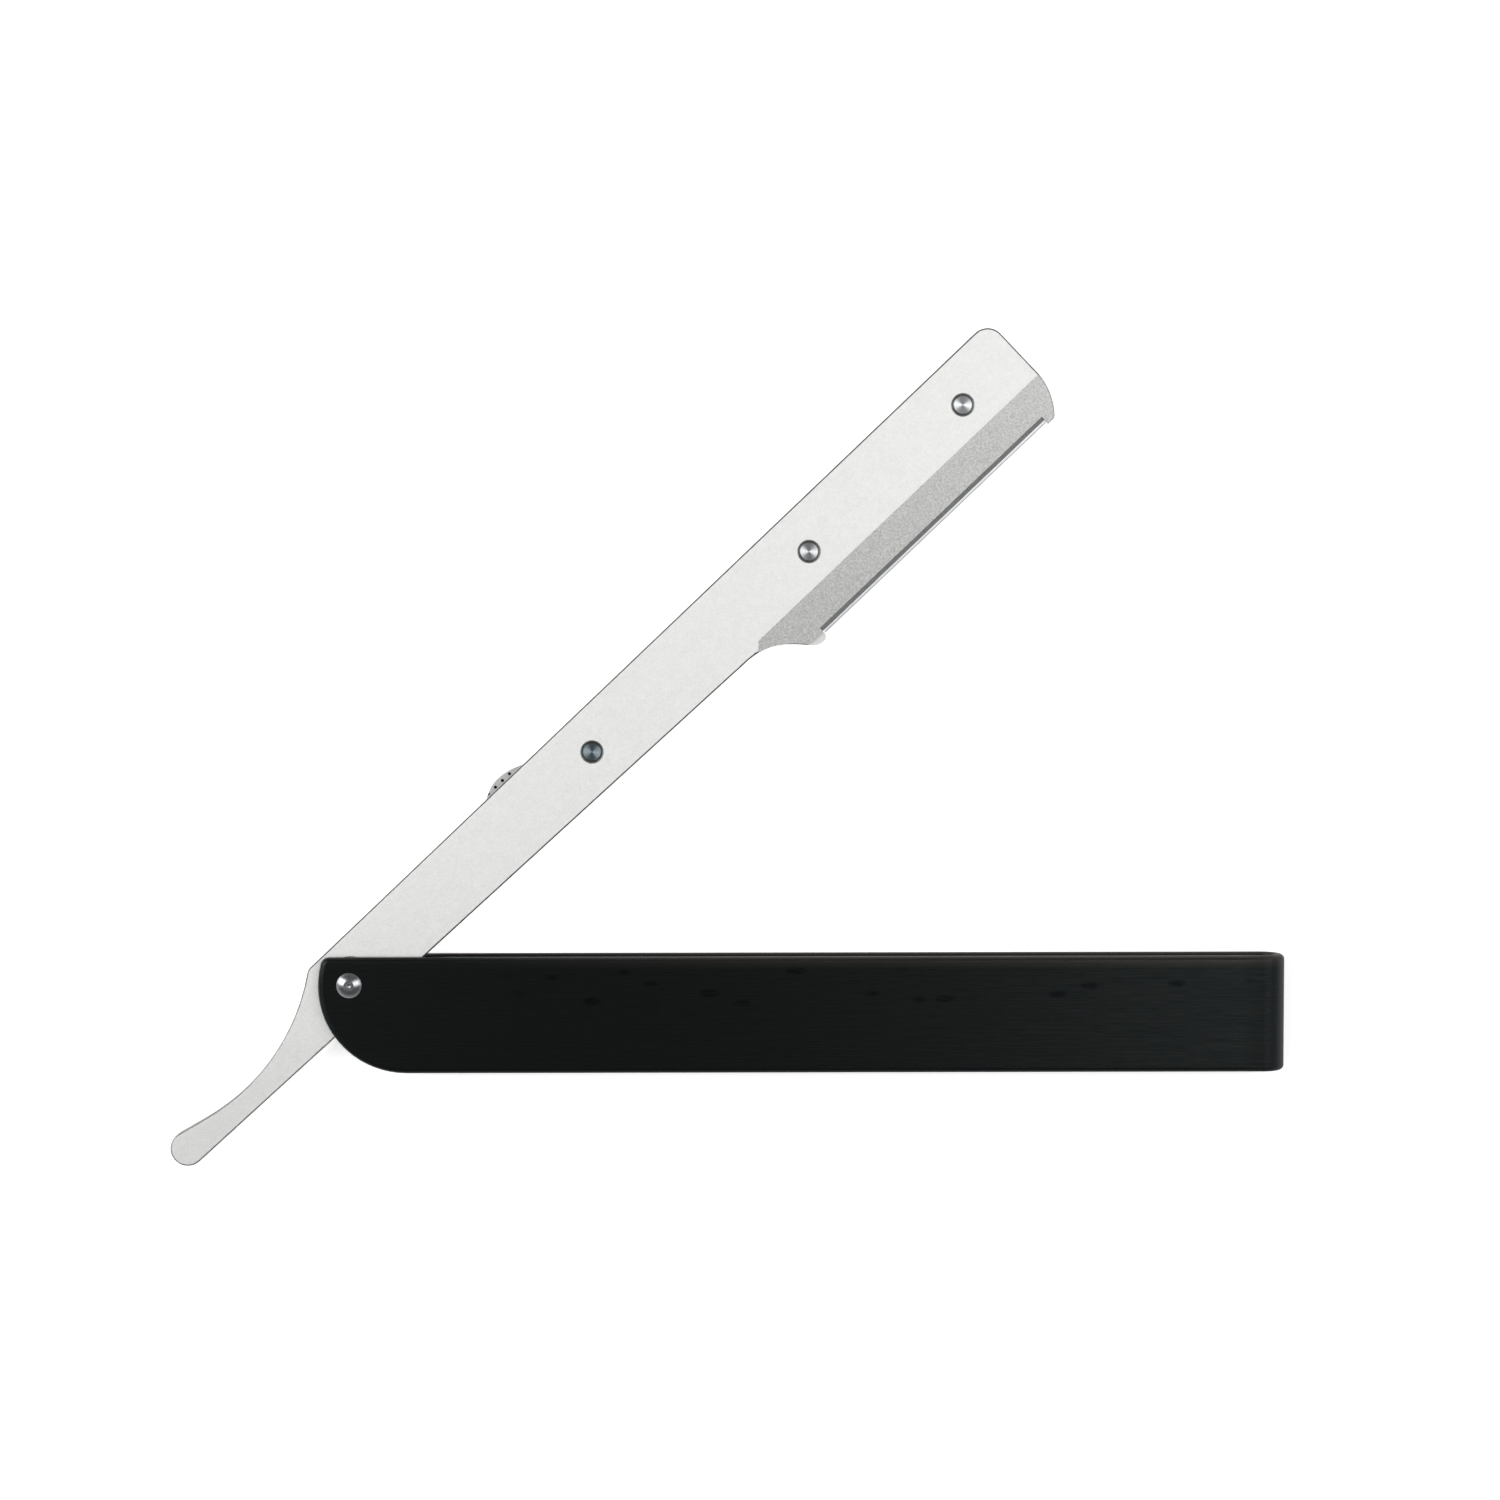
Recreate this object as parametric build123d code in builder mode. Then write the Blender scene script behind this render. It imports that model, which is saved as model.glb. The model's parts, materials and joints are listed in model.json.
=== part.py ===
"""Straight razor for replaceable blades: a hairpin handle, a split holder and half a blade.

Millimetres. +X runs along the handle from the pivot to the bend and +Z points out of the
front wall. The origin is the centre of the handle's back face, which the razor lies on.
The holder is drawn in its own plane: u runs from the pivot to the tip, v towards the spine.
"""

import os
from math import acos, asin, atan, atan2, cos, degrees, hypot, radians, sin, tan

from build123d import *

os.makedirs("parts", exist_ok=True)

# ---------------------------------------------------------------- driving dimensions

# handle: one flat strip, bent double round the far end
handle_length = 119.3
handle_height = 14.38
handle_wall = 1.3
handle_gap = 3.0
nose_radius = 10.8
outer_edge_radius = 0.62
inner_edge_radius = 0.45
top_corner_radius = 1.0
pivot_from_end = 3.9
pivot_from_top = 3.4

# how far the holder stands open, as stored
open_angle = 43.5

# pivot
rivet_radius = 1.0
rivet_head_radius = 1.55
rivet_rim_height = 0.14
rivet_dome_height = 0.6
rivet_flat_radius = 0.64
rivet_dimple_radius = 0.26
rivet_dimple_depth = 0.04
countersink_depth = 0.55
washer_radius = 3.42
washer_thickness = 0.36
running_clearance = 0.04

# holder: two leaves with the blade between them
holder_thickness = 2.2
main_leaf_thickness = 1.08
swing_leaf_thickness = 0.98
spine = 4.87
end_edge = 112.97
lower_edge_at_pivot = -3.64
lower_edge_taper = 0.021
holder_edge_radius = 0.22
bevel_rim = 0.1
tang_corner_radius = 1.2
spine_corner_radius = 2.2
tip_curve_radius = 8.35
tip_curve_start = -3.7

# tail: a hollow back and a round end
tail_end_u = -28.9
tail_end_radius = 2.15
tail_hollow_radius = 26.5
tail_hollow_centre = Vector(-18.5, 26.09)

# lugs each side of the blade window; the main leaf has only the upper one
heel_corner_u = 66.46
heel_corner_radius = 7.8
heel_flank_slope = 1.12
lower_lug_depth = -9.73
upper_lug_depth = -9.31
lower_lug_radius = 1.6
lower_lug_inner_radius = 0.7
upper_lug_radius = 0.8
window_start = 72.2
window_end = 109.7
window_edge = -8.68

# bevel that thins both leaves towards the blade
bevel_line = -4.08
bevel_start = 65.7
bevel_slant = 1.0
bevel_angle = 8.0
relief_line = -8.15
relief_edge_thickness = 0.16

# pins: places along and across the holder
leaf_pin_u, leaf_pin_v = 41.42, 0.14
blade_pin_lower_u, blade_pin_upper_u = 77.71, 103.66
blade_pin_v = -0.44
pin_radius = 1.2
pin_mouth_radius = 1.45
pin_mouth_angle = 90
pin_recess = 0.06
pin_bevel = 0.12
pin_reach = 0.32
leaf_pin_head_radius = 2.1
leaf_pin_head_height = 0.46
groove_depth = 0.24
groove_clearance = 0.1

# swing leaf's free end and thumb tab
leaf_end_radius = 14.55
leaf_end_gap = 0.3
tab_start, tab_peak, tab_end = 27.8, 30.5, 34.1
tab_height = 0.9
tab_start_slope, tab_end_slope = 0.6, -0.45
dimple_radius = 0.2
dimple_depth = 0.5
dimple_spacing = 1.2
dimple_count = 4
dimple_row_u = 30.3
dimple_row_v = 5.2

# disc magnets that hold the leaves shut: place, radius
lower_magnet = (56.0, 0.4, 1.6)
upper_magnet = (91.1, 3.42, 1.0)
magnet_depth = 0.6
magnet_recess = 0.02

# half of a double-edge blade
blade_length = 43.0
blade_edge_length = 37.3
blade_width = 11.0
blade_thickness = 0.10
blade_edge = -9.06
blade_shoulder = 3.75
blade_slot_depth = 0.8
blade_bevel_width = 0.2
blade_bevel_depth = 0.025

# how far cutting shapes reach past the metal they cut
overcut = 2.0

# ---------------------------------------------------------------- worked-out dimensions

handle_depth = 2 * handle_wall + handle_gap
handle_left = -handle_length / 2
handle_top = handle_height / 2
handle_bottom = -handle_height / 2
bend_x = handle_length / 2 - handle_depth / 2
pivot_x = handle_left + pivot_from_end
pivot_y = handle_top - pivot_from_top

holder_back = (handle_depth - holder_thickness) / 2
holder_front = holder_back + holder_thickness
main_leaf_inner = holder_front - main_leaf_thickness
swing_leaf_inner = holder_back + swing_leaf_thickness
blade_back = (main_leaf_inner + swing_leaf_inner - blade_thickness) / 2
blade_spine = blade_edge + blade_width
blade_notch_radius = blade_spine - blade_pin_v + pin_radius + running_clearance

holder_plane = Plane(
    origin=(pivot_x, pivot_y, 0),
    x_dir=(cos(radians(open_angle)), sin(radians(open_angle)), 0),
    z_dir=(0, 0, 1),
)
leaf_pin_at = (leaf_pin_u, leaf_pin_v)
blade_pins = [(blade_pin_lower_u, blade_pin_v), (blade_pin_upper_u, blade_pin_v)]


def level(height):
    """The holder's own plane at a height above the handle's back face."""
    return holder_plane.offset(height)


def at(u, v, height):
    """A point of the holder, turned to the holder's own directions."""
    return holder_plane * Location((u, v, height))


def section(u):
    """A plane across the holder at u: its x runs towards the spine, its y is height."""
    return Plane(
        origin=at(u, 0, 0).position, x_dir=holder_plane.y_dir, z_dir=holder_plane.x_dir
    )


def lower_edge(u):
    """Height of the shank's slightly tapered lower edge."""
    return lower_edge_at_pivot - lower_edge_taper * u


def export(piece, name):
    """Label a finished piece and write it under its own name."""
    piece.part.label = name
    export_step(piece.part, f"parts/{name}.step")


# ---------------------------------------------------------------- handle

with BuildPart() as handle_scale:
    # the strip seen from its edge: two walls and the bend
    with BuildSketch(Plane.XZ):
        with BuildLine():
            Polyline(
                (bend_x, 0),
                (handle_left, 0),
                (handle_left, handle_wall),
                (bend_x, handle_wall),
            )
            CenterArc((bend_x, handle_depth / 2), handle_gap / 2, -90, 180)
            Polyline(
                (bend_x, handle_depth - handle_wall),
                (handle_left, handle_depth - handle_wall),
                (handle_left, handle_depth),
                (bend_x, handle_depth),
            )
            CenterArc((bend_x, handle_depth / 2), handle_depth / 2, -90, 180)
        make_face()
    extrude(amount=handle_height / 2, both=True)

    # both free ends are cut to one round nose, which runs into the lower edge
    nose_centre = (handle_left + nose_radius, handle_bottom + nose_radius)
    nose_top_angle = degrees(asin((handle_height - nose_radius) / nose_radius))
    with BuildSketch(Plane.XY) as nose:
        with BuildLine():
            arc = CenterArc(
                nose_centre, nose_radius, 180 - nose_top_angle, 90 + nose_top_angle
            )
            Polyline(
                arc @ 1,
                (handle_length / 2, handle_bottom),
                (handle_length / 2, handle_top),
                arc @ 0,
            )
        make_face()
        fillet(nose.vertices().sort_by_distance(arc @ 0)[0], top_corner_radius)
    extrude(amount=handle_depth, mode=Mode.INTERSECT)

    # the strip's long edges are rounded, more outside than inside the fold
    rims = handle_scale.edges().filter_by(Axis.Z, reverse=True)
    rims = rims.filter_by(Axis.Y, reverse=True)
    inside = rims.filter_by(
        lambda edge: handle_wall / 2 < edge.center(CenterOf.BOUNDING_BOX).Z
        < handle_depth - handle_wall / 2
        and edge.bounding_box().size.Z < handle_gap + handle_wall
    )
    outside = ShapeList([edge for edge in rims if edge not in inside])
    fillet(outside, outer_edge_radius)
    fillet(inside, inner_edge_radius)

    with Locations((pivot_x, pivot_y, 0)):
        Cylinder(
            rivet_radius,
            handle_depth,
            align=(Align.CENTER, Align.CENTER, Align.MIN),
            mode=Mode.SUBTRACT,
        )
        Cone(
            rivet_head_radius,
            rivet_radius,
            countersink_depth,
            align=(Align.CENTER, Align.CENTER, Align.MIN),
            mode=Mode.SUBTRACT,
        )
export(handle_scale, "handle_scale")

# ---------------------------------------------------------------- pivot

with BuildPart() as pivot_rivet:
    # half section: flush conical end at the back, shank, low dome with a dimple in front
    with BuildSketch(Plane(origin=(pivot_x, pivot_y, 0), x_dir=(1, 0, 0), z_dir=(0, -1, 0))):
        rim_top = handle_depth + rivet_rim_height
        dome_top = handle_depth + rivet_dome_height
        dimple_floor = dome_top - rivet_dimple_depth
        rise = dome_top - rim_top
        # the dome is part of a ball centred on the rivet's axis
        spread = rivet_head_radius**2 - rivet_flat_radius**2
        ball_radius = hypot(rivet_head_radius, (spread - rise**2) / (2 * rise))
        with BuildLine():
            Polyline(
                (0, dimple_floor),
                (0, 0),
                (rivet_head_radius, 0),
                (rivet_radius, countersink_depth),
                (rivet_radius, handle_depth),
                (rivet_head_radius, handle_depth),
                (rivet_head_radius, rim_top),
            )
            RadiusArc(
                (rivet_head_radius, rim_top), (rivet_flat_radius, dome_top), -ball_radius
            )
            Polyline(
                (rivet_flat_radius, dome_top),
                (rivet_dimple_radius, dome_top),
                (0, dimple_floor),
            )
        make_face()
    revolve(axis=Axis((pivot_x, pivot_y, 0), (0, 0, 1)))
export(pivot_rivet, "pivot_rivet")


def make_washer(height):
    """A thin ring round the rivet, between the holder and one wall."""
    with BuildPart(Plane.XY.offset(height)) as washer:
        with Locations((pivot_x, pivot_y)):
            Cylinder(
                washer_radius,
                washer_thickness,
                align=(Align.CENTER, Align.CENTER, Align.MIN),
            )
            Hole(rivet_radius + running_clearance)
    return washer


export(make_washer(handle_wall), "rear_washer")
export(make_washer(handle_depth - handle_wall - washer_thickness), "front_washer")

# ---------------------------------------------------------------- holder's outline

with BuildSketch() as holder_outline:
    # the tail's round end touches the lower edge
    taper_angle = degrees(atan(lower_edge_taper))
    tail_end = Vector(
        tail_end_u, lower_edge(tail_end_u) + tail_end_radius / cos(radians(taper_angle))
    )
    # the tail's back is hollow, and a straight run joins the hollow to the round end
    across = tail_end - tail_hollow_centre
    cross = degrees(acos((tail_hollow_radius + tail_end_radius) / across.length))
    touch_angle = degrees(atan2(across.Y, across.X)) % 360 + cross
    hollow_top_angle = 360 - degrees(asin((tail_hollow_centre.Y - spine) / tail_hollow_radius))
    # the tip curves back from the end edge to the upper lug
    tip_centre = Vector(end_edge - tip_curve_radius, tip_curve_start)
    tip_turn = degrees(asin((upper_lug_depth - tip_curve_start) / tip_curve_radius))
    # the heel drops from the lower edge to the lower lug
    heel = (heel_corner_u, lower_edge(heel_corner_u))
    lug_tip_u = heel_corner_u + (heel[1] - lower_lug_depth) / heel_flank_slope
    with BuildLine():
        hollow = CenterArc(
            tail_hollow_centre,
            tail_hollow_radius,
            hollow_top_angle,
            touch_angle - hollow_top_angle,
        )
        round_end = CenterArc(
            tail_end, tail_end_radius, touch_angle - 180, 450 - taper_angle - touch_angle
        )
        tip_curve = CenterArc(tip_centre, tip_curve_radius, tip_turn, -tip_turn)
        Line(hollow @ 1, round_end @ 0)
        Polyline(
            round_end @ 1,
            heel,
            (lug_tip_u, lower_lug_depth),
            tip_curve @ 0,
        )
        Polyline(tip_curve @ 1, (end_edge, spine), hollow @ 0)
    make_face()
    for corner, radius in [
        (hollow @ 0, tang_corner_radius),
        (Vector(end_edge, spine), spine_corner_radius),
        (Vector(*heel), heel_corner_radius),
        (Vector(lug_tip_u, lower_lug_depth), lower_lug_radius),
        (tip_curve @ 0, upper_lug_radius),
    ]:
        fillet(holder_outline.vertices().sort_by_distance(corner)[0], radius)

# ---------------------------------------------------------------- shared cutters

past_tip = end_edge + overcut
past_lugs = lower_lug_depth - overcut

# the wedge below the bevel line, which starts on a slant at the heel
with BuildPart() as front_bevel:
    bevel_drop = (bevel_line - past_lugs) * tan(radians(bevel_angle))
    with BuildSketch(section(bevel_start - bevel_slant)):
        with BuildLine():
            Polyline(
                (bevel_line, holder_front),
                (past_lugs, holder_front - bevel_drop),
                (past_lugs, holder_front + overcut),
                (bevel_line, holder_front + overcut),
                close=True,
            )
        make_face()
    extrude(amount=past_tip - bevel_start + bevel_slant)
    with BuildSketch(level(holder_back)):
        with BuildLine():
            Polyline(
                (bevel_start, bevel_line),
                (bevel_start - bevel_slant, bevel_line - bevel_slant),
                (bevel_start - bevel_slant, past_lugs),
                (past_tip, past_lugs),
                (past_tip, bevel_line),
                close=True,
            )
        make_face()
    extrude(amount=holder_thickness + overcut, mode=Mode.INTERSECT)

# the steeper cut along the window's edge of the main leaf
with BuildPart() as edge_relief:
    relief_top = holder_front - (bevel_line - relief_line) * tan(radians(bevel_angle))
    with BuildSketch(section(window_start)):
        with BuildLine():
            Polyline(
                (relief_line, relief_top),
                (window_edge, main_leaf_inner + relief_edge_thickness),
                (window_edge, holder_front),
                (relief_line, holder_front),
                close=True,
            )
        make_face()
    extrude(amount=window_end - window_start)


def swing_space(radius):
    """Plan of the swing leaf's side: all that a circle round its pin holds, and beyond."""
    with Locations(leaf_pin_at):
        Circle(radius)
        Rectangle(past_tip - leaf_pin_u, 2 * radius, align=(Align.MIN, Align.CENTER))


# ---------------------------------------------------------------- main leaf

with BuildPart() as main_leaf:
    with BuildSketch(level(holder_back)):
        add(holder_outline.sketch)
    extrude(amount=holder_thickness)
    fillet(main_leaf.faces().sort_by(Axis.Z)[-1].edges(), holder_edge_radius)
    fillet(main_leaf.faces().sort_by(Axis.Z)[0].edges(), holder_edge_radius)

    # beyond the tang only the front half stays, and the swing leaf fills the rest
    with BuildSketch(level(holder_back)):
        swing_space(leaf_end_radius + leaf_end_gap)
    extrude(amount=holder_thickness - main_leaf_thickness, mode=Mode.SUBTRACT)

    add(front_bevel.part, mode=Mode.SUBTRACT)
    add(edge_relief.part, mode=Mode.SUBTRACT)

    # the window's edge runs straight on past the heel, so this leaf has no lower lug
    with BuildSketch(level(holder_back)):
        with Locations((window_end, window_edge)):
            Rectangle(
                window_end - heel_corner_u,
                window_edge - past_lugs,
                align=(Align.MAX, Align.MAX),
            )
    extrude(amount=holder_thickness, mode=Mode.SUBTRACT)

    # the bevel's sharp outer rim is broken, flat along the heel and round at the tip
    for end in ("heel", "tip"):
        bevel_face = main_leaf.faces().sort_by_distance(
            at(bevel_start + bevel_slant, bevel_line - bevel_slant, holder_front).position
        )[0]
        curved = bevel_face.edges().filter_by(GeomType.ELLIPSE).sort_by(Axis.X)
        if end == "heel":
            chamfer(curved[0], bevel_rim)
        else:
            fillet(curved[-2:], bevel_rim)

    with Locations(at(0, 0, holder_front)):
        Hole(rivet_radius + running_clearance)
    with Locations(*[at(u, v, holder_front) for u, v in [leaf_pin_at, *blade_pins]]):
        CounterSinkHole(pin_radius, pin_mouth_radius, counter_sink_angle=pin_mouth_angle)
    for u, v, radius in [lower_magnet, upper_magnet]:
        with BuildSketch(level(main_leaf_inner)):
            with Locations((u, v)):
                Circle(radius)
        extrude(amount=magnet_depth, mode=Mode.SUBTRACT)
export(main_leaf, "main_leaf")

# ---------------------------------------------------------------- swing leaf

with BuildPart() as swing_leaf:
    with BuildSketch(level(holder_back)):
        swing_space(leaf_end_radius)
        add(holder_outline.sketch, mode=Mode.INTERSECT)
        # thumb tab, standing above the spine next to the tang
        with BuildLine():
            tab_curve = Spline(
                (tab_start, spine),
                (tab_peak, spine + tab_height),
                (tab_end, spine),
                tangents=[(1, tab_start_slope), (1, 0), (1, tab_end_slope)],
            )
            Polyline(tab_curve @ 1, (tab_end, 0), (tab_start, 0), tab_curve @ 0)
        make_face()
    extrude(amount=swing_leaf_thickness)
    fillet(swing_leaf.faces().sort_by(Axis.Z)[0].edges(), holder_edge_radius)

    mirror(
        front_bevel.part,
        about=Plane.XY.offset((holder_back + holder_front) / 2),
        mode=Mode.SUBTRACT,
    )
    # the window between the lugs, where the blade's edge shows
    with BuildSketch(level(holder_back)):
        with Locations((window_start, window_edge)):
            Rectangle(
                window_end - window_start,
                window_edge - past_lugs,
                align=(Align.MIN, Align.MAX),
            )
    extrude(amount=holder_thickness, mode=Mode.SUBTRACT)
    lug_corner = swing_leaf.edges().filter_by(Axis.Z).sort_by_distance(
        at(window_start, lower_lug_depth, swing_leaf_inner).position
    )[0]
    fillet(lug_corner, lower_lug_inner_radius)

    # clearance grooves for the two blade pins, curved round the leaf pin
    with BuildSketch(level(swing_leaf_inner)):
        for u, v in blade_pins:
            reach = hypot(u - leaf_pin_u, v - leaf_pin_v)
            start = degrees(atan2(v - leaf_pin_v, u - leaf_pin_u))
            turn = degrees(asin((leaf_pin_v - past_lugs) / reach))
            with BuildLine(mode=Mode.PRIVATE):
                path = CenterArc(leaf_pin_at, reach, start, -turn)
            SlotArc(path, 2 * (pin_radius + groove_clearance))
    extrude(amount=-groove_depth, mode=Mode.SUBTRACT)

    # seat for the leaf pin's flat head, in the back
    with Locations(at(*leaf_pin_at, holder_back)):
        Cylinder(
            leaf_pin_head_radius + running_clearance,
            leaf_pin_head_height + running_clearance,
            align=(Align.CENTER, Align.CENTER, Align.MIN),
            mode=Mode.SUBTRACT,
        )
        Cylinder(
            pin_radius + running_clearance,
            holder_thickness,
            align=(Align.CENTER, Align.CENTER, Align.MIN),
            mode=Mode.SUBTRACT,
        )
    for u, v, radius in [lower_magnet, upper_magnet]:
        with BuildSketch(level(swing_leaf_inner)):
            with Locations((u, v)):
                Circle(radius)
        extrude(amount=-magnet_depth, mode=Mode.SUBTRACT)

    # a row of grip dimples along the tab
    with BuildSketch(level(swing_leaf_inner)):
        with Locations((dimple_row_u, dimple_row_v)):
            with GridLocations(dimple_spacing, 0, dimple_count, 1):
                Circle(dimple_radius)
    extrude(amount=-dimple_depth, mode=Mode.SUBTRACT)
export(swing_leaf, "swing_leaf")

# ---------------------------------------------------------------- pins and magnets


def make_blade_pin(u, v):
    """A plain pin pressed into the main leaf, which reaches just past the blade."""
    with BuildPart(level(main_leaf_inner - pin_reach)) as pin:
        with Locations((u, v)):
            Cylinder(
                pin_radius,
                main_leaf_thickness + pin_reach - pin_recess,
                align=(Align.CENTER, Align.CENTER, Align.MIN),
            )
        chamfer(pin.edges().filter_by(GeomType.CIRCLE).sort_by(Axis.Z)[-1], pin_bevel)
    return pin


for (u, v), name in zip(blade_pins, ["blade_pin_lower", "blade_pin_upper"]):
    export(make_blade_pin(u, v), name)

with BuildPart(level(holder_back + running_clearance)) as leaf_pivot_pin:
    with Locations(leaf_pin_at):
        Cylinder(
            leaf_pin_head_radius,
            leaf_pin_head_height - running_clearance,
            align=(Align.CENTER, Align.CENTER, Align.MIN),
        )
        Cylinder(
            pin_radius,
            holder_thickness - running_clearance - pin_recess,
            align=(Align.CENTER, Align.CENTER, Align.MIN),
        )
    chamfer(leaf_pivot_pin.edges().filter_by(GeomType.CIRCLE).sort_by(Axis.Z)[-1], pin_bevel)
export(leaf_pivot_pin, "leaf_pivot_pin")


def make_magnet(place, height):
    """A disc at the bottom of its pocket, just below the leaf's inner face."""
    u, v, radius = place
    with BuildPart(level(height)) as magnet:
        with Locations((u, v)):
            Cylinder(
                radius,
                magnet_depth - magnet_recess,
                align=(Align.CENTER, Align.CENTER, Align.MIN),
            )
    return magnet


for place, where in [(lower_magnet, "lower"), (upper_magnet, "upper")]:
    export(make_magnet(place, main_leaf_inner + magnet_recess), f"main_magnet_{where}")
    export(make_magnet(place, swing_leaf_inner - magnet_depth), f"swing_magnet_{where}")

# ---------------------------------------------------------------- blade

with BuildPart() as razor_blade:
    blade_middle = (window_start + window_end) / 2
    with BuildSketch(level(blade_back)):
        # the cutting edge is shorter than the body, so the corners are cut back
        with Locations((blade_middle, blade_edge)):
            Rectangle(blade_edge_length, blade_width, align=(Align.CENTER, Align.MIN))
        with Locations((blade_middle, blade_edge + blade_shoulder)):
            Rectangle(
                blade_length, blade_width - blade_shoulder, align=(Align.CENTER, Align.MIN)
            )
        # half of the whole blade's round holes and middle slot
        with Locations(*[(u, blade_spine) for u, v in blade_pins]):
            Circle(blade_notch_radius, mode=Mode.SUBTRACT)
        with Locations((blade_middle, blade_spine)):
            Rectangle(
                blade_pin_upper_u - blade_pin_lower_u,
                2 * blade_slot_depth,
                mode=Mode.SUBTRACT,
            )
    extrude(amount=blade_thickness)
    # the ground edge: both long sides of the straight face at the window
    ground_face = razor_blade.faces().sort_by_distance(
        at(blade_middle, blade_edge, blade_back).position
    )[0]
    for side in razor_blade.faces().filter_by(Axis.Z):
        shared = [edge for edge in side.edges() if edge in ground_face.edges()]
        chamfer(shared, blade_bevel_width, blade_bevel_depth, reference=side)
export(razor_blade, "razor_blade")
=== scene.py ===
"""Looks of the folding razor: finishes for its metal parts, a pale floor, soft light, a camera."""

import json
from math import atan2, cos, pi, radians, sin

import bpy
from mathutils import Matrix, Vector

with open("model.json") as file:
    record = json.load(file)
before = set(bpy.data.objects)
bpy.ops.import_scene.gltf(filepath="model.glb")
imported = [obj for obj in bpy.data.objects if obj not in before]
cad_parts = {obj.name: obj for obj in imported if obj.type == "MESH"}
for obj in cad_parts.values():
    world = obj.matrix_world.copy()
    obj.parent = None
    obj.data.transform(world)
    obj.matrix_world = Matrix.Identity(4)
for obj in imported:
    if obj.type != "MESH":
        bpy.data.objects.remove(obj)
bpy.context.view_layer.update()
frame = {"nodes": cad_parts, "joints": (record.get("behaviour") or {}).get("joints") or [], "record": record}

MM = 0.001

# the frame's own directions, worked out from the joints
joints = {joint["name"]: joint for joint in frame["joints"]}
pivot = Vector(joints["handle_fold"]["pos_m"])
away_from_spine = Vector(joints["blade_slide"]["axis"])
towards_tip = Vector((-away_from_spine.y, away_from_spine.x, 0))
holder_turn = -atan2(towards_tip.y, towards_tip.x)

# slopes of the main leaf's narrow faces, in degrees
side_slope = 90
countersink_slope = 45
relief_slope = 33.3

# the thumb tab and its dimples, in millimetres along and across the holder from the pivot
tab_base = 4.9
dimple_row = 5.2
first_dimple = 28.5
dimple_spacing = 1.2
dimple_count = 4
dimple_radius = 0.2
dimple_depth = 0.5

# where the painted shade on the tail begins and ends, in millimetres along the holder from the pivot
tail_shade_from, tail_shade_to = -15, 2

# places along the handle, in millimetres from its middle towards the bend
pivot_end_from, pivot_end_to = -50, -36
# where the painted highlight along the top grows to full strength
top_highlight_from, top_highlight_to = -42, -5
dashes_from, dashes_to = -38, -30
bend_from, bend_to = 54, 57

# the blade's edge, in millimetres across the holder from the pivot
blade_edge = -9.06


# ---------------------------------------------------------------- node helpers


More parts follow.
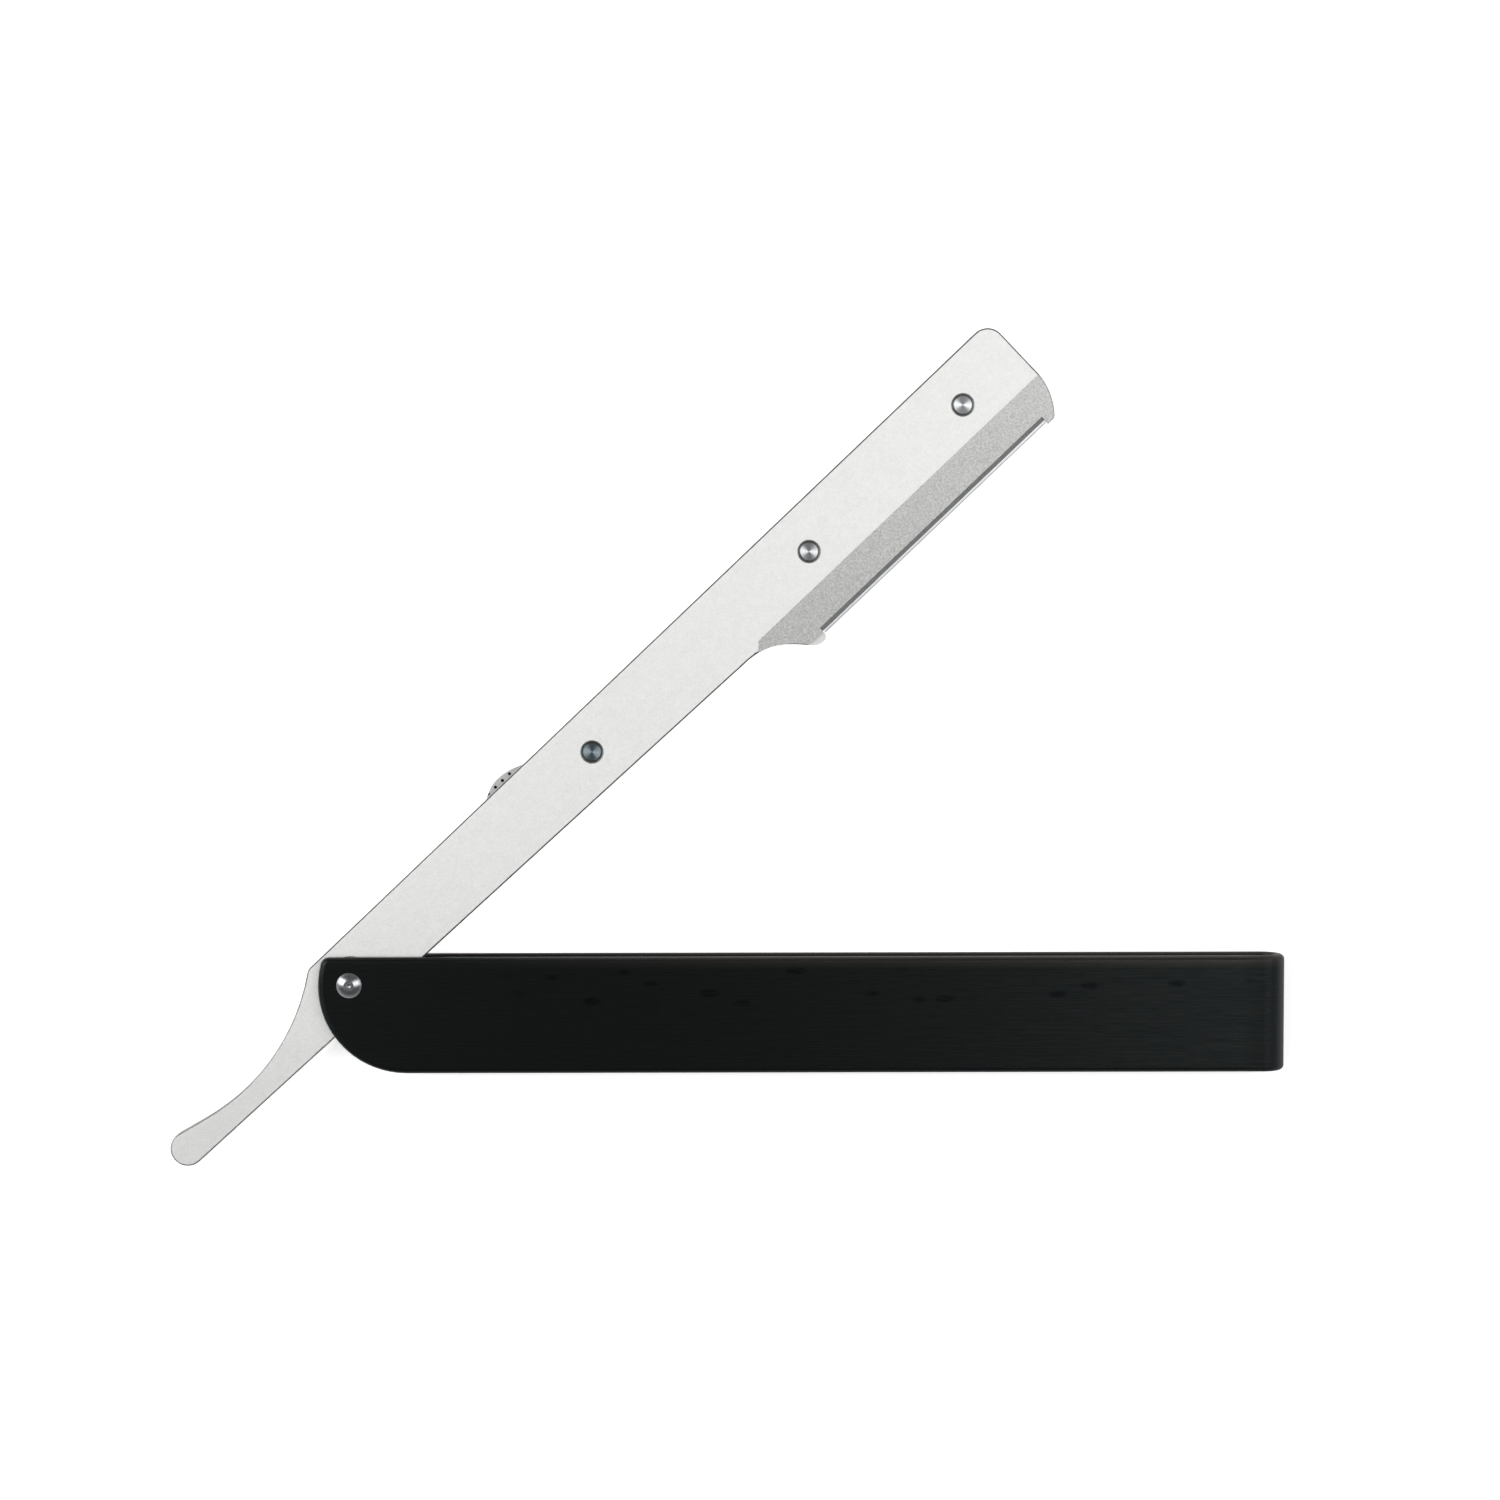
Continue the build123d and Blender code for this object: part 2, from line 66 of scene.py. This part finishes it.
class Finish:
    """A node-based material. Sizes along the surface are given in millimetres."""

    def __init__(self, name, color, metallic, roughness, **sockets):
        self.material = bpy.data.materials.new(name)
        self.material.use_nodes = True
        self.tree = self.material.node_tree
        self.shader = self.tree.nodes["Principled BSDF"]
        self.set("Base Color", (*color, 1))
        self.set("Metallic", metallic)
        self.set("Roughness", roughness)
        for socket, value in sockets.items():
            self.set(socket.replace("_", " ").title(), value)
        coordinates = self.tree.nodes.new("ShaderNodeTexCoord")
        self.place = coordinates.outputs["Object"]
        normal = self.node("ShaderNodeSeparateXYZ", Vector=coordinates.outputs["Normal"])
        self.flatness = self.math("ABSOLUTE", normal.outputs["Z"])

    def set(self, socket, value):
        self.shader.inputs[socket].default_value = value

    def feed(self, socket, source):
        self.tree.links.new(source, self.shader.inputs[socket])

    def node(self, kind, settings=None, **inputs):
        """A node with its settings and inputs; an input may be a value or another node's socket."""
        node = self.tree.nodes.new(kind)
        for key, value in (settings or {}).items():
            setattr(node, key, value)
        for key, value in inputs.items():
            socket = node.inputs[int(key[1:])] if key[1:].isdigit() else node.inputs[key]
            if isinstance(value, bpy.types.NodeSocket):
                self.tree.links.new(value, socket)
            else:
                socket.default_value = value
        return node

    def stretched(self, size_mm, turn=0.0, shift=(0, 0, 0)):
        """Coordinates counted in cells of size_mm, turned about Z first."""
        turned = self.node(
            "ShaderNodeMapping", Vector=self.place, Rotation=(0, 0, turn), Location=shift
        )
        cells = tuple(1 / (side * MM) for side in size_mm)
        scaled = self.node("ShaderNodeMapping", Vector=turned.outputs[0], Scale=cells)
        return scaled.outputs[0]

    def noise(self, size_mm, turn=0.0, shift=(0, 0, 0), detail=2.0, grain=0.5, bend=0.0):
        """Noise from 0 to 1 with patches of about size_mm."""
        return self.node(
            "ShaderNodeTexNoise",
            Vector=self.stretched(size_mm, turn, shift),
            Scale=1.0,
            Detail=detail,
            Roughness=grain,
            Distortion=bend,
        ).outputs[0]

    def reach(self, origin, direction):
        """Distance from origin along a direction, in metres."""
        offset = self.node(
            "ShaderNodeVectorMath", {"operation": "SUBTRACT"}, _0=self.place, _1=origin
        )
        along = self.node(
            "ShaderNodeVectorMath",
            {"operation": "DOT_PRODUCT"},
            _0=offset.outputs[0],
            _1=direction,
        )
        return along.outputs["Value"]

    def spots(self, size_mm, shift=(0, 0, 0)):
        """Distance to the nearest of scattered points, in cells."""
        return self.node(
            "ShaderNodeTexVoronoi",
            Vector=self.stretched(size_mm, shift=shift),
            Scale=1.0,
            Randomness=1.0,
        ).outputs["Distance"]

    def spread(self, source, low, high, to_low=0.0, to_high=1.0):
        """Maps low..high to to_low..to_high and clamps."""
        return self.node(
            "ShaderNodeMapRange",
            _0=source,
            _1=low,
            _2=high,
            _3=to_low,
            _4=to_high,
        ).outputs[0]

    def math(self, operation, a, b=0.0):
        return self.node("ShaderNodeMath", {"operation": operation}, _0=a, _1=b).outputs[0]

    def tint(self, amount, color_a, color_b):
        """Colour between two, by amount."""
        mix = self.node("ShaderNodeMix", {"data_type": "RGBA"}, _0=amount)
        for index, color in ((6, color_a), (7, color_b)):
            if isinstance(color, bpy.types.NodeSocket):
                self.tree.links.new(color, mix.inputs[index])
            else:
                mix.inputs[index].default_value = (*color, 1)
        return mix.outputs[2]

    def darken(self, color, *factors):
        """The colour times each factor from 0 to 1."""
        for factor in factors:
            scaled = self.node(
                "ShaderNodeVectorMath", {"operation": "SCALE"}, _0=color, Scale=factor
            )
            color = scaled.outputs[0]
        return color

    def bump(self, height, depth_mm, under=None):
        """Relief of depth_mm from a height of 0 to 1, on top of another bump."""
        inputs = {"Height": height, "Distance": depth_mm * MM, "Strength": 1.0}
        if under is not None:
            inputs["Normal"] = under
        return self.node("ShaderNodeBump", **inputs).outputs[0]

    def brush_along(self, direction):
        """Fine lines along a direction fixed in the piece, which spread highlights across it."""
        across = Vector((-direction.y, direction.x, 0))
        arrow = self.node("ShaderNodeCombineXYZ", X=across.x, Y=across.y, Z=across.z)
        turned = self.node(
            "ShaderNodeVectorTransform",
            {"vector_type": "VECTOR", "convert_from": "OBJECT", "convert_to": "WORLD"},
            _0=arrow.outputs[0],
        )
        self.feed("Tangent", turned.outputs[0])

    def turned_about_z(self):
        """Fine rings round the piece's own middle, which spread highlights outwards."""
        rings = self.node("ShaderNodeTangent", {"direction_type": "RADIAL", "axis": "Z"})
        self.feed("Tangent", rings.outputs[0])
        self.set("Anisotropic Rotation", 0.25)


def hairlines(finish, count, length_mm, width_mm, share):
    """Fine scratches in count directions; share is how much of the surface they touch."""
    total = None
    for index in range(count):
        angle = holder_turn + pi * (index + 0.3 * (index % 2)) / count
        shift = (0.013 * index, 0.029 * index, 0)
        lines = finish.noise((length_mm, width_mm, 1), angle, shift, detail=1.0, bend=0.1)
        lines = finish.spread(lines, 1 - share, 1 - share + 0.08)
        total = lines if total is None else finish.math("MAXIMUM", total, lines)
    return total


# ---------------------------------------------------------------- finishes


def black_anodised():
    """Dyed aluminium, brushed along the handle, with sparse darker dashes and pale specks."""
    finish = Finish("black_anodised", (0.018, 0.020, 0.020), 1.0, 0.36, anisotropic=0.5)
    finish.brush_along(Vector((1, 0, 0)))
    place = finish.node("ShaderNodeSeparateXYZ", Vector=finish.place)
    along, height = place.outputs["X"], place.outputs["Y"]
    long_lines = finish.noise((12, 0.14, 0.14), detail=4.0, grain=0.65)
    short_lines = finish.noise((2.5, 0.07, 0.07), shift=(0.02, 0, 0), detail=2.0)
    lines = finish.math("MULTIPLY", finish.math("ADD", long_lines, short_lines), 0.5)
    grain = finish.spread(lines, 0.34, 0.66)
    color = finish.tint(grain, (0.0112, 0.0142, 0.0140), (0.0254, 0.0280, 0.0278))

    # oval dashes in the upper half, away from the pivot
    dash = finish.spread(finish.spots((6.0, 2.4, 50), shift=(0.003, 0, 0)), 0.24, 0.14)
    ragged = finish.spread(finish.noise((1.2, 0.3, 1), detail=2.0), 0.25, 0.5)
    upper = finish.spread(height, -0.5 * MM, 2 * MM)
    beyond = finish.spread(along, dashes_from * MM, dashes_to * MM, 0.0, 0.8)
    for part in (ragged, upper, beyond):
        dash = finish.math("MULTIPLY", dash, part)
    color = finish.tint(dash, color, (0.0075, 0.0092, 0.0098))
    specks = finish.spread(finish.spots((1.6, 1.6, 1.6)), 0.04, 0.02, 0.0, 0.3)
    color = finish.tint(specks, color, (0.09, 0.09, 0.09))

    # painted highlight: rounded rims and the band along the top are tinted lighter, except round the pivot
    painted_rim_shading = finish.spread(finish.flatness, 0.5, 0.985, 0.5, 0.0)
    beyond_pivot = finish.spread(along, pivot_end_from * MM, pivot_end_to * MM)
    painted_rim_shading = finish.math("MULTIPLY", painted_rim_shading, beyond_pivot)
    color = finish.tint(painted_rim_shading, color, (0.046, 0.050, 0.056))
    painted_top_highlight = finish.math(
        "MULTIPLY",
        finish.spread(height, 5.7 * MM, 7.1 * MM, 0.0, 0.8),
        finish.spread(along, top_highlight_from * MM, top_highlight_to * MM, 0.1, 1.0),
    )
    color = finish.tint(painted_top_highlight, color, (0.062, 0.056, 0.052))
    finish.feed("Base Color", color)
    bend = finish.spread(along, bend_from * MM, bend_to * MM, 0.0, 0.14)
    rough = finish.math("ADD", finish.spread(grain, 0.0, 1.0, 0.41, 0.31), bend)
    finish.feed("Roughness", finish.math("ADD", rough, finish.math("MULTIPLY", painted_rim_shading, 0.3)))
    finish.feed("Normal", finish.bump(lines, 0.0014))
    return finish.material


def painted_tail_shade(finish):
    """The tail is a little darker: painted shade."""
    along = finish.reach(pivot, towards_tip)
    return finish.spread(along, tail_shade_from * MM, tail_shade_to * MM, 0.935, 1.0)


def darker_tab_and_dimple_shade(finish):
    """The thumb tab above the spine is darker than the leaf, and its dimples are darkened with painted
    shade.
    """
    above = finish.reach(pivot, -away_from_spine)
    along = finish.reach(pivot, towards_tip)
    height = finish.node("ShaderNodeSeparateXYZ", Vector=finish.place).outputs["Z"]

    # distance from the nearest dimple's axis
    half_spacing = dimple_spacing / 2
    aside = finish.math("SUBTRACT", above, dimple_row * MM)
    from_first = finish.math("SUBTRACT", along, first_dimple * MM)
    nearest = finish.math("PINGPONG", from_first, half_spacing * MM)
    squares = [finish.math("MULTIPLY", side, side) for side in (aside, nearest)]
    radius = finish.math("SQRT", finish.math("ADD", *squares))

    # painted shade inside a dimple, within the row, and between the dimple's mouth and floor
    row_middle = first_dimple + half_spacing * (dimple_count - 1)
    row_half = half_spacing * dimple_count
    off_middle = finish.math("SUBTRACT", along, row_middle * MM)
    mouth = max(corner[2] for corner in frame["nodes"]["swing_leaf"].bound_box)
    floor = mouth - dimple_depth * MM
    dark = finish.spread(height, floor - 0.1 * MM, floor - 0.05 * MM)
    for source, low, high in (
        (radius, (dimple_radius + 0.01) * MM, (dimple_radius + 0.05) * MM),
        (finish.math("ABSOLUTE", off_middle), row_half * MM, (row_half + 0.1) * MM),
        (height, mouth - 0.1 * MM, mouth - 0.05 * MM),
    ):
        dark = finish.math("MULTIPLY", dark, finish.spread(source, low, high, 1.0, 0.0))
    darker_tab = finish.spread(above, tab_base * MM, (tab_base + 0.1) * MM, 1.0, 0.72)
    return finish.math("MULTIPLY", darker_tab, finish.spread(dark, 0.0, 1.0, 1.0, 0.05))


def satin_aluminium(name, color, shade=None):
    """Fine tumbled aluminium: grain and hairlines, a coarser bevel from grinding, and painted shade on the
    bevel and the rounded rims.
    """
    finish = Finish(name, color, 1.0, 0.52)
    speckle = finish.noise((0.24, 0.24, 0.24), detail=4.0, grain=0.7)
    haze = finish.noise((2.6, 1.3, 2.6), holder_turn, detail=4.0, grain=0.6)
    fine = hairlines(finish, 7, 1.8, 0.07, 0.40)
    deep = hairlines(finish, 5, 4.5, 0.10, 0.28)
    bevel = finish.spread(finish.flatness, 0.992, 0.998, 1.0, 0.0)

    # grain shows most on the bevel
    pits = finish.spread(speckle, 0.28, 0.62, 1.0, 0.0)
    depth = finish.spread(bevel, 0.0, 1.0, 0.09, 0.45)
    grain = finish.math("SUBTRACT", 1.0, finish.math("MULTIPLY", pits, depth))
    cloud = finish.spread(haze, 0.35, 0.65, 0.985, 1.0)
    marks = finish.spread(finish.math("SUBTRACT", deep, fine), -1.0, 1.0, 0.88, 1.0)
    # painted shade: the bevel is darkened by how it faces
    painted_bevel_shade = finish.spread(bevel, 0.0, 1.0, 1.0, 0.80)

    # painted shade darkens the rounded rims, the sides less so; countersinks and the relief cut get less of
    # it
    along = finish.reach(pivot, towards_tip)
    above = finish.reach(pivot, -away_from_spine)
    darkest = finish.spread(along, -10 * MM, 0.0, 0.4, 0.15)
    painted_rim_shading = finish.spread(finish.flatness, 0.93, 0.986, darkest, 1.0)
    near_pins = finish.spread(finish.math("ABSOLUTE", above), 2.5 * MM, 3 * MM, 0.75, 0.0)
    near_blade = finish.spread(above, -7.5 * MM, -7 * MM, 0.5, 0.0)
    slopes_with_less_shade = ((side_slope, 0.5), (countersink_slope, near_pins), (relief_slope, near_blade))
    for slope, less_shade in slopes_with_less_shade:
        off = finish.math("SUBTRACT", finish.flatness, cos(radians(slope)))
        less_shade = finish.spread(finish.math("ABSOLUTE", off), 0.01, 0.03, less_shade, 0.0)
        painted_rim_shading = finish.math("MAXIMUM", painted_rim_shading, less_shade)

    factors = [grain, cloud, marks, painted_bevel_shade, painted_rim_shading]
    if shade:
        factors.append(shade(finish))
    finish.feed("Base Color", finish.darken(color, *factors))
    finish.feed("Roughness", finish.spread(speckle, 0.3, 0.7, 0.48, 0.56))
    relief = finish.bump(speckle, 0.004)
    relief = finish.bump(fine, -0.0008, relief)
    relief = finish.bump(deep, -0.0012, relief)
    finish.feed("Normal", relief)
    return finish.material


def turned_steel(name, dark, pale):
    """Pin ends: fine rings from the lathe, which make a bow-tie highlight."""
    finish = Finish(name, pale, 1.0, 0.38, anisotropic=0.9)
    finish.turned_about_z()
    grain = finish.noise((0.12, 0.12, 0.12), detail=3.0)
    # painted shade: tilted chamfers round the pin ends are darkened
    painted_chamfer_shade = finish.spread(finish.flatness, 0.75, 0.98, 0.4, 1.0)
    color = finish.tint(grain, dark, pale)
    finish.feed("Base Color", finish.darken(color, painted_chamfer_shade))
    finish.feed("Roughness", finish.spread(grain, 0.3, 0.7, 0.34, 0.43))
    return finish.material


def polished_steel():
    """The rivet: barrel polished, bright and nearly smooth, with a slightly blue cast."""
    finish = Finish("polished_steel", (0.34, 0.35, 0.37), 1.0, 0.24)
    haze = finish.noise((0.4, 0.4, 0.4), detail=3.0)
    finish.feed("Base Color", finish.tint(haze, (0.29, 0.31, 0.34), (0.41, 0.41, 0.40)))
    finish.feed("Roughness", finish.spread(haze, 0.35, 0.7, 0.22, 0.28))
    finish.feed("Normal", finish.bump(haze, 0.0003))
    return finish.material


def black_nylon():
    """Washers: matte plastic with a faint grain."""
    finish = Finish("black_nylon", (0.012, 0.012, 0.012), 0.0, 0.55)
    grain = finish.noise((0.15, 0.15, 0.15), detail=3.0)
    finish.feed("Base Color", finish.tint(grain, (0.008, 0.008, 0.008), (0.02, 0.02, 0.02)))
    finish.feed("Roughness", finish.spread(grain, 0.3, 0.7, 0.48, 0.62))
    finish.feed("Normal", finish.bump(grain, 0.006))
    return finish.material


def nickel_plate():
    """Magnet discs: warm bright plating with a soft orange peel."""
    finish = Finish("nickel_plate", (0.66, 0.63, 0.57), 1.0, 0.22)
    grain = finish.noise((0.25, 0.25, 0.25), detail=2.0)
    finish.feed("Base Color", finish.tint(grain, (0.58, 0.55, 0.5), (0.7, 0.67, 0.61)))
    finish.feed("Roughness", finish.spread(grain, 0.3, 0.7, 0.17, 0.28))
    finish.feed("Normal", finish.bump(grain, 0.003))
    return finish.material


def blade_steel():
    """Thin blade strip: rolled along its length; its bevel from grinding gets painted shade, and a darker
    painted line runs along its outer boundary.
    """
    finish = Finish("blade_steel", (0.95, 0.97, 0.98), 1.0, 0.46, anisotropic=0.4)
    finish.brush_along(towards_tip)
    rolled = finish.noise((6, 0.08, 1), holder_turn, detail=3.0)
    across = finish.noise((0.05, 0.9, 1), holder_turn, detail=2.0)
    grain = finish.math("MULTIPLY", finish.math("ADD", rolled, across), 0.5)
    # painted shade: the bevel and a thin line along the outer boundary are darkened
    painted_bevel_shade = finish.spread(finish.flatness, 0.993, 0.998, 0.85, 1.0)
    above = finish.reach(pivot, -away_from_spine)
    painted_edge_shade = finish.spread(above, (blade_edge + 0.06) * MM, (blade_edge + 0.10) * MM, 0.3, 1.0)
    color = finish.tint(grain, (0.91, 0.93, 0.95), (0.97, 0.99, 1.0))
    finish.feed("Base Color", finish.darken(color, painted_bevel_shade, painted_edge_shade))
    finish.feed("Roughness", finish.spread(grain, 0.3, 0.7, 0.42, 0.5))
    finish.feed("Normal", finish.bump(grain, 0.0008))
    return finish.material


def floor_card():
    """Pale lit sheet: matte, with a faint fibre, and bright enough to show no shadows."""
    finish = Finish("floor_card", (0.93, 0.93, 0.93), 0.0, 0.9, emission_strength=0.55)
    finish.set("Emission Color", (1, 1, 1, 1))
    fibre = finish.noise((3, 3, 3), detail=5.0)
    finish.feed("Base Color", finish.tint(fibre, (0.92, 0.92, 0.92), (0.94, 0.94, 0.94)))
    return finish.material


rear_aluminium = (0.90, 0.90, 0.89)
front_aluminium = (0.99, 0.99, 0.975)
finish_of_slot = {
    "black_anodised": black_anodised(),
    "polished_steel": polished_steel(),
    "black_nylon": black_nylon(),
    "satin_aluminium": satin_aluminium("satin_aluminium", front_aluminium, painted_tail_shade),
    "satin_aluminium_rear": satin_aluminium("satin_aluminium_rear", rear_aluminium, darker_tab_and_dimple_shade),
    "turned_steel": turned_steel("turned_steel", (0.48, 0.50, 0.51), (0.62, 0.63, 0.64)),
    "magnet_nickel": nickel_plate(),
    "blade_steel": blade_steel(),
}

# the leaf pin is darker and bluer
finish_of_node = {
    "leaf_pivot_pin": turned_steel("turned_steel_darker", (0.17, 0.21, 0.23), (0.25, 0.30, 0.32)),
}

# every CAD node keeps its shape and takes its own or its slot's finish
slot_of_node = {
    part["node"]: part["material_slot"] for part in frame["record"]["subparts"]
}
for name, piece in frame["nodes"].items():
    material = finish_of_node.get(name) or finish_of_slot[slot_of_node[name]]
    for material_slot in piece.material_slots:
        material_slot.material = material
    if not piece.material_slots:
        piece.data.materials.append(material)


# ---------------------------------------------------------------- floor, light, camera


def add_floor():
    """A wide pale sheet that the razor lies on."""
    half = 3.0
    below = -0.02 * MM
    mesh = bpy.data.meshes.new("floor")
    corners = [(x * half, y * half, below) for x, y in ((-1, -1), (1, -1), (1, 1), (-1, 1))]
    mesh.from_pydata(corners, [], [(0, 1, 2, 3)])
    floor = bpy.data.objects.new("floor", mesh)
    mesh.materials.append(floor_card())
    bpy.context.scene.collection.objects.link(floor)


def add_softbox(name, place, size, watts, aim=(0, 0, 0)):
    """A rectangular soft light that faces a point."""
    light = bpy.data.lights.new(name, "AREA")
    light.shape = "RECTANGLE"
    light.size, light.size_y = size
    light.energy = watts
    box = bpy.data.objects.new(name, light)
    box.location = place
    box.rotation_euler = (Vector(aim) - Vector(place)).to_track_quat("-Z", "Y").to_euler()
    bpy.context.scene.collection.objects.link(box)


def add_world(overhead, horizon):
    """Grey surroundings: dim overhead, and bright near the horizon like a white sweep."""
    world = bpy.data.worlds.new("studio")
    world.use_nodes = True
    nodes, links = world.node_tree.nodes, world.node_tree.links
    coordinates = nodes.new("ShaderNodeTexCoord")
    direction = nodes.new("ShaderNodeSeparateXYZ")
    fade = nodes.new("ShaderNodeMapRange")
    fade.inputs["From Min"].default_value = sin(radians(3))
    fade.inputs["From Max"].default_value = sin(radians(28))
    fade.inputs["To Min"].default_value = horizon
    fade.inputs["To Max"].default_value = overhead
    links.new(coordinates.outputs["Generated"], direction.inputs["Vector"])
    links.new(direction.outputs["Z"], fade.inputs["Value"])
    background = nodes["Background"]
    background.inputs["Color"].default_value = (1, 1, 1, 1)
    links.new(fade.outputs["Result"], background.inputs["Strength"])
    bpy.context.scene.world = world


def add_camera(aim, distance, tilt, roll, frame_width):
    """Looks down on aim from a little towards +Y, with frame_width across the picture."""
    lens = bpy.data.cameras.new("camera")
    lens.sensor_width = 36
    lens.lens = lens.sensor_width * distance / frame_width
    lens.clip_start, lens.clip_end = 0.01, 20
    camera = bpy.data.objects.new("camera", lens)
    camera.location = aim + distance * Vector((0, sin(tilt), cos(tilt)))
    camera.rotation_euler = (-tilt, 0, roll)
    bpy.context.scene.collection.objects.link(camera)
    bpy.context.scene.camera = camera


add_floor()
add_world(overhead=0.15, horizon=1.0)
add_softbox("softbox_right", (0.58, 0.155, 0.92), (0.5, 1.0), 4.6)
add_softbox("softbox_left", (-0.75, 0.25, 0.8), (0.6, 1.1), 7.9)
add_camera(
    pivot + MM * Vector((49.44, 28.75, 0)),
    distance=450 * MM,
    tilt=radians(3.6),
    roll=radians(-0.12),
    frame_width=184.9 * MM,
)
bpy.context.scene.view_settings.view_transform = "Standard"
